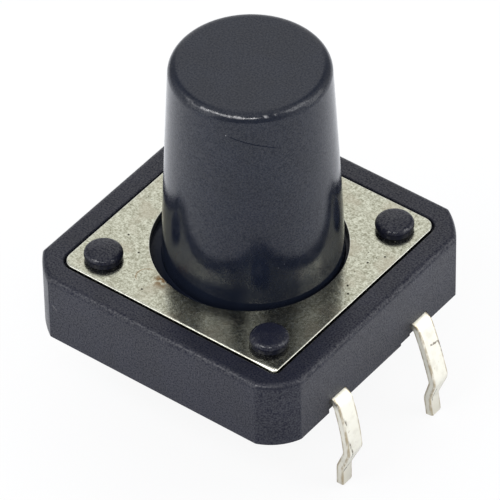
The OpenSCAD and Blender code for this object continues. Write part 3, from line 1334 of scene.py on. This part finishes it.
@dataclass
class Stage:
    """Floor, light and camera round the object."""

    floor_z: float
    floor_half: float = 900.0
    floor_ticks: int = 9
    floor_lift: float = 0.9
    floor_gloss_lift: float = 0.08
    floor_colour: Colour = (0.89, 0.905, 0.95)
    # Painted shade on the floor: its colour, its point's distance in front and its span.
    shade_colour: Colour = (0.72, 0.73, 0.77)
    shade_away: float = 12.0
    shade_span: Span = (4.0, 17.0)
    ambient: float = 0.74
    azimuth: float = 38.092
    elevation: float = 42.583
    roll: float = -1.111
    distance: float = 214.742
    focal_px: float = 5824.88
    frame_px: float = 500.0
    look_at: Point = (0.0, 0.0, 5.0)
    slide: Span = (0.048, -1.796)
    sensor: float = 36.0
    paper_half: float = 24.0
    side_middle: float = 100.0
    side_half: float = 40.0
    paper_glow: float = 1.1
    left_glow: float = 1.05
    right_glow: float = 1.1
    gap_glow: float = 0.4
    front_glow: float = 0.35
    wall_middle: float = 33.0
    wall_rise: float = 38.0
    wall_away: float = 320.0
    wall_rows: int = 25
    wall_columns: int = 181
    lamp_away: float = 200.0

    def camera(self) -> None:
        """Sets the camera where the photograph was taken from."""
        a, e, r = np.radians([self.azimuth, self.elevation, self.roll])
        back = np.array([np.sin(a) * np.cos(e), -np.cos(a) * np.cos(e), np.sin(e)])
        level = np.array([np.cos(a), np.sin(a), 0])
        rise = np.cross(back, level)
        right = level * np.cos(r) + rise * np.sin(r)
        up = rise * np.cos(r) - level * np.sin(r)
        aim = np.array(self.look_at) + right * self.slide[0] + up * self.slide[1]
        at = aim + back * self.distance
        lens = bpy.data.cameras.new("photo_camera")
        lens.sensor_width = self.sensor
        lens.lens = self.focal_px / self.frame_px * self.sensor
        lens.clip_start = 0.01
        camera = linked("photo_camera", lens)
        pose = np.eye(4)
        pose[:3] = np.stack([right, up, back, at * MM], -1)
        camera.matrix_world = Matrix(pose.tolist())
        bpy.context.scene.camera = camera

    def floor(self) -> None:
        """Lays a pale floor that shows white to the eye and to gloss, and still takes the shadow."""
        ticks = np.linspace(-self.floor_half, self.floor_half, self.floor_ticks)
        x, y = np.meshgrid(ticks, ticks)
        points = np.stack([x, y, 0 * x + self.floor_z], -1).reshape(-1, 3) * MM
        mesh = bpy.data.meshes.new("floor")
        mesh.from_pydata(points, [], grid_quads(self.floor_ticks, self.floor_ticks).tolist())
        linked("floor", mesh)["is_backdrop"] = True
        g = Graph("pale_floor")
        # Painted shade: the floor's colour darkens round a point in front of the object, on the camera's
        # side.
        bearing = np.radians(self.azimuth)
        forward = np.array([np.sin(bearing), -np.cos(bearing), 0])
        shade_at = self.shade_away * forward + [0, 0, self.floor_z]
        lit = g.ramp(g.distance(tuple(shade_at)), *self.shade_span)
        matt = g.node("BsdfDiffuse")
        g.put(matt.inputs["Color"], g.mix(lit, self.shade_colour, self.floor_colour))
        both = g.node("MixShader")
        shares = (self.floor_lift, self.floor_gloss_lift, self.floor_lift)
        g.put(both.inputs["Fac"], self.seen_share(g.tree, shares))
        g.put(both.inputs[1], matt.outputs[0])
        g.put(both.inputs[2], g.node("Emission").outputs[0])
        g.put(g.node("OutputMaterial").inputs["Surface"], both.outputs[0])
        mesh.materials.append(g.material)

    def seen_share(self, tree: bpy.types.NodeTree, shares: tuple[float, float, float]) -> Socket:
        """Gives a share for a ray from the eye, from gloss or through glass, and 0 for any other.

        Args:
            tree: Nodes to add to.
            shares: The share for each of the three kinds of ray.

        Returns:
            The largest share that holds.
        """
        path = tree.nodes.new("ShaderNodeLightPath")
        total = None
        for ray, share in zip(("Is Camera Ray", "Is Glossy Ray", "Is Transmission Ray"), shares):
            scaled = tree.nodes.new("ShaderNodeMath")
            scaled.operation = "MULTIPLY"
            scaled.inputs[1].default_value = share
            tree.links.new(path.outputs[ray], scaled.inputs[0])
            if total is None:
                total = scaled.outputs[0]
                continue
            top = tree.nodes.new("ShaderNodeMath")
            top.operation = "MAXIMUM"
            tree.links.new(total, top.inputs[0])
            tree.links.new(scaled.outputs[0], top.inputs[1])
            total = top.outputs[0]
        return total

    def sky(self) -> None:
        """Fills the room with even white light, white to the eye and softer on the object."""
        world = bpy.data.worlds.new("studio")
        bpy.context.scene.world = world
        world.use_nodes = True
        tree = world.node_tree
        tree.nodes.clear()
        room = tree.nodes.new("ShaderNodeBackground")
        room.inputs["Color"].default_value = (1, 1, 1, 1)
        level = tree.nodes.new("ShaderNodeMapRange")
        level.inputs["To Min"].default_value = self.ambient
        level.inputs["To Max"].default_value = 1.0
        tree.links.new(self.seen_share(tree, (1.0, 1.0, 1.0)), level.inputs["Value"])
        tree.links.new(level.outputs["Result"], room.inputs["Strength"])
        tree.links.new(room.outputs[0], tree.nodes.new("ShaderNodeOutputWorld").inputs["Surface"])

    def wall_glow(self, off: Array) -> Array:
        """Brightness of the studio round the object, by bearing from straight behind it.

        The paper behind the object and the softboxes' sides are white. The gaps between them are
        dim, and so is the side that the camera stands in. Each white stretch is a flat-topped bell.

        Args:
            off: Bearings from straight behind the object, in degrees.

        Returns:
            The glow at each bearing.
        """
        paper = np.exp(-((off / self.paper_half) ** 4))
        sides = np.exp(-(((abs(off) - self.side_middle) / self.side_half) ** 4))
        room = np.where(abs(off) > self.side_middle, self.front_glow, self.gap_glow)
        side_glow = np.where(off > 0, self.left_glow, self.right_glow)
        behind = room + (self.paper_glow - room) * paper
        return behind + (side_glow - behind) * sides

    def walls(self) -> None:
        """Hangs the studio's walls for gloss to see, which light nothing.

        The sheet is part of a ball round the object: even steps of bearing and height angle. Its
        glow goes over to white towards its upper edge, by a power of the way up.
        """
        off = np.linspace(-180, 180, self.wall_columns)
        along = np.linspace(-1, 1, self.wall_rows)[:, None]
        bearing = np.radians(self.azimuth + 180 + off)
        height = np.radians(self.wall_middle + along * self.wall_rise)
        x = np.cos(height) * np.sin(bearing)
        y = -np.cos(height) * np.cos(bearing)
        ball = np.stack([x, y, np.sin(height) + 0 * bearing], -1)
        points = ball.reshape(-1, 3) * self.wall_away * MM
        quads = grid_quads(self.wall_rows, self.wall_columns)[:, [0, 3, 2, 1]]
        mesh = bpy.data.meshes.new("studio_walls")
        mesh.from_pydata(points, [], quads.tolist())
        glow = self.wall_glow(off)
        glow = glow + (1 - glow) * np.maximum(along, 0) ** 6
        shares = mesh.attributes.new("glow", "FLOAT", "POINT")
        shares.data.foreach_set("value", glow.ravel().astype(np.float32))
        sheet = linked("studio_walls", mesh)
        sheet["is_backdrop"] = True
        material = bpy.data.materials.new("wall_glow")
        material.use_nodes = True
        tree = material.node_tree
        tree.nodes.clear()
        shade = tree.nodes.new("ShaderNodeEmission")
        level = tree.nodes.new("ShaderNodeAttribute")
        level.attribute_name = "glow"
        tree.links.new(level.outputs["Fac"], shade.inputs["Strength"])
        tree.links.new(shade.outputs[0], tree.nodes.new("ShaderNodeOutputMaterial").inputs["Surface"])
        mesh.materials.append(material)
        sheet.visible_camera = False
        sheet.visible_diffuse = False
        sheet.visible_shadow = False

    def softbox(self, name: str, toward: Point, size: Span, watts: float) -> None:
        """Hangs an oblong soft lamp that shines on the object.

        Args:
            name: Name of the lamp.
            toward: Direction from the object to the lamp.
            size: Width and height of the lamp.
            watts: Its power.
        """
        light = bpy.data.lights.new(name, "AREA")
        light.shape = "RECTANGLE"
        light.size = size[0] * MM
        light.size_y = size[1] * MM
        light.energy = watts
        lamp = linked(name, light)
        back = unit(np.array(toward, float))
        right = unit(np.cross([0.0, 0.0, 1.0], back))
        pose = np.eye(4)
        pose[:3] = np.stack([right, np.cross(back, right), back, back * self.lamp_away * MM], -1)
        lamp.matrix_world = Matrix(pose.tolist())
        lamp.visible_camera = False

    def build(self) -> None:
        """Sets the camera, floor, room light and lamps."""
        bpy.context.scene.view_settings.view_transform = "Standard"
        self.camera()
        self.floor()
        self.sky()
        self.walls()
        self.softbox("left_low_softbox", (-0.454, -0.80, 0.40), (140, 140), 0.055)
        self.softbox("right_low_softbox", (0.76, 0.579, 0.32), (110, 110), 0.05)
        self.softbox("left_high_softbox", (-0.15, -0.58, 0.80), (100, 50), 0.125)
        self.softbox("right_high_softbox", (0.616, 0.261, 0.743), (90, 90), 0.06)
        self.softbox("front_softbox", (0.38, -0.485, 0.788), (50, 30), 0.055)


def main() -> None:
    """Builds the stage and each sub-assembly in order."""
    logging.basicConfig(level=logging.INFO, format="%(name)s: %(message)s")
    black = (0.0098, 0.0109, 0.0205)
    grey_rub = (0.10, 0.10, 0.105)
    base_plastic = BlackMoulding(
        name="base_plastic",
        colour=black,
        rub_and_highlight=grey_rub,
        roughness=0.34,
        grain=0.010,
        rub=0.16,
        # Painted shade: the reflection is dimmed low on the base, most towards its right side.
        painted_shade_heights=(0.0, 2.2),
        painted_shade_at=(6.0, 1.0, 0.3),
        painted_shade_span=(4.0, 9.0),
        painted_shade_share=(0.3, 0.12),
        light_marks=(Scratch((-4.64, -6.0, 1.70), (-4.41, -6.0, 1.52), (0, -1, 0)),),
    )
    post_plastic = BlackMoulding(
        name="post_plastic",
        colour=black,
        rub_and_highlight=grey_rub,
        roughness=0.2,
        grain=0.008,
        rub=0.3,
        # Painted shade: the reflection is dimmed on the lower side of the rivet heads, next to the plate.
        painted_shade_heights=(3.12, 3.28),
        painted_shade_at=(0.0, 0.0, 3.2),
        painted_shade_span=(4.0, 6.0),
        painted_shade_share=(0.75, 0.92),
    )
    Housing(base_plastic, post_plastic).build()
    CoverPlate(CoverSteel(
        pits=((-3.87, -2.34, 2.95), (-2.96, -2.89, 2.95), (-1.64, -4.38, 2.95), (4.33, 0.27, 2.95),
              (4.19, 1.71, 2.95), (4.61, -0.08, 2.95), (4.52, 2.34, 2.95)),
        rust_at=(-1.26, -3.56, 2.95),
        hair_middle=(-2.28, -3.66, 2.95),
        hair_centre=(-1.93, -3.73, 2.95),
    )).build()
    stem_plastic = BlackMoulding(
        name="stem_plastic",
        colour=(0.0076, 0.0102, 0.0190),
        # Light grey of the stem's chips and of the painted highlight on its top edge.
        rub_and_highlight=(0.36, 0.36, 0.37),
        roughness=0.14,
        grain=0.005,
        rub=0.0,
        flecks=0.0,
        speckle=0.2,
        # Painted shade: the reflection is dimmed on the stem's foot, strongest towards minus Y and lifted
        # again round a point towards plus X.
        painted_shade_heights=(3.55, 4.15),
        painted_shade_at=(-0.4, -3.2, 3.2),
        painted_shade_span=(1.8, 4.4),
        painted_shade_share=(0.9, 0.6),
        unshaded_at=(2.63, -2.36, 3.3),
        dark_marks=(Scratch((1.21, -2.84, 10.9), (2.77, -1.63, 10.28), (0.62, -0.78, 0), 0.025),),
        chips=((1.24, -2.84, 10.9), (1.05, -3.19, 5.17), (1.83, -2.85, 5.50), (2.55, -2.32, 5.04),
               (2.99, -1.78, 4.83), (2.86, -1.98, 4.71), (-0.29, -2.96, 11.16)),
        # Painted highlight along the front of the top edge's rounding.
        painted_highlight_at=(1.5, -2.4, 11.68),
        painted_highlight_axis=(0.184, 0.0, 0.0),
    )
    Stem(stem_plastic).build()
    plating = PinPlating(rubs=(
        Scratch((6.57, 2.36, -0.44), (6.62, 2.96, -0.56), (0.95, 0, 0.3), 0.06),
        Scratch((6.60, 2.90, -0.50), (6.75, 2.90, -1.05), (0.8, 0.56, 0.26), 0.07),
        Scratch((6.74, 2.34, -3.23), (6.94, 2.38, -2.40), (0.97, 0, -0.1), 0.05),
        Scratch((6.46, -2.84, -0.20), (6.56, -2.76, -0.62), (0.97, 0, 0.24), 0.05),
        Scratch((6.67, -2.85, -1.20), (6.60, -2.59, -2.40), (0.97, 0, 0), 0.05),
        Scratch((6.36, -2.78, -3.09), (6.42, -2.30, -2.90), (0.98, 0, 0), 0.05),
        Scratch((6.10, -2.92, 0.47), (6.32, -2.91, 0.25), (0.5, -0.7, 0.4), 0.08),
    ))
    ContactStrip(
        name="common_strip",
        node="common_contact",
        y=-LEAD_PITCH / 2,
        right=Leg(lean_top=17, lean_knee=6, upper=2.026, lean_in=23, lower=0.85, lean_toe=0, toe=0.8),
        left=Leg(lean_top=16, lean_knee=15),
        finish=plating,
        inner=DomeContacts().pads(),
    ).build()
    ContactStrip(
        name="centre_strip",
        node="centre_contact",
        y=LEAD_PITCH / 2,
        right=Leg(lean_top=21, lean_knee=14, upper=2.226, lean_in=19, lower=0.8, lean_toe=8, toe=0.75),
        left=Leg(lean_top=15, lean_knee=17),
        finish=plating,
        inner=DomeContacts().tongue(),
    ).build()
    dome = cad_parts["snap_dome"]
    dome.data.materials.clear()
    dome.data.materials.append(DomeSteel().material())
    LOG.info("snap_dome: the solid itself, with its finish, on %s", Body.BASE.value)
    Stage(floor_z=float(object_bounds()[0][2]) / MM).build()


if __name__ == "__main__":
    main()
